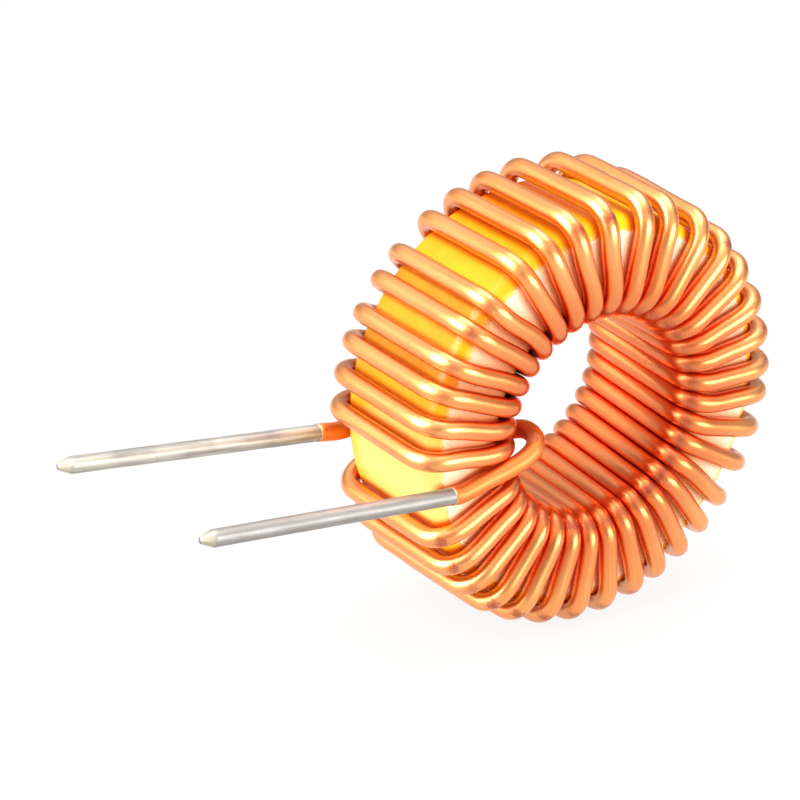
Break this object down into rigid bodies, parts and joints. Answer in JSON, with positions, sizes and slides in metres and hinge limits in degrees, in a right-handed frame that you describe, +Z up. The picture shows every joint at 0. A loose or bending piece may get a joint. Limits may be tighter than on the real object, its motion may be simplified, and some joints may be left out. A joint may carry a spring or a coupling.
{
  "type": "toroidal inductor",
  "caption": "Ring-core inductor standing on its rim: an open layer of enamelled copper wire on a painted iron-powder ring, with tinned wire ends pointing the same way.",
  "frame": {"origin": "on the floor, under the middle of the box round the whole part", "axes": "+Z up; Y along the ring's axis, with the loose end of the winding on the -Y face; both wire ends point towards -X"},
  "size_m": [0.0441, 0.0116, 0.0269],
  "materials": {
    "core_paint": "satin",
    "enamelled_copper": "glossy",
    "tinned_wire": "satin"
  },
  "bodies": {
    "root": {"core": "core_paint", "winding": "enamelled_copper"}
  },
  "joints": []
}
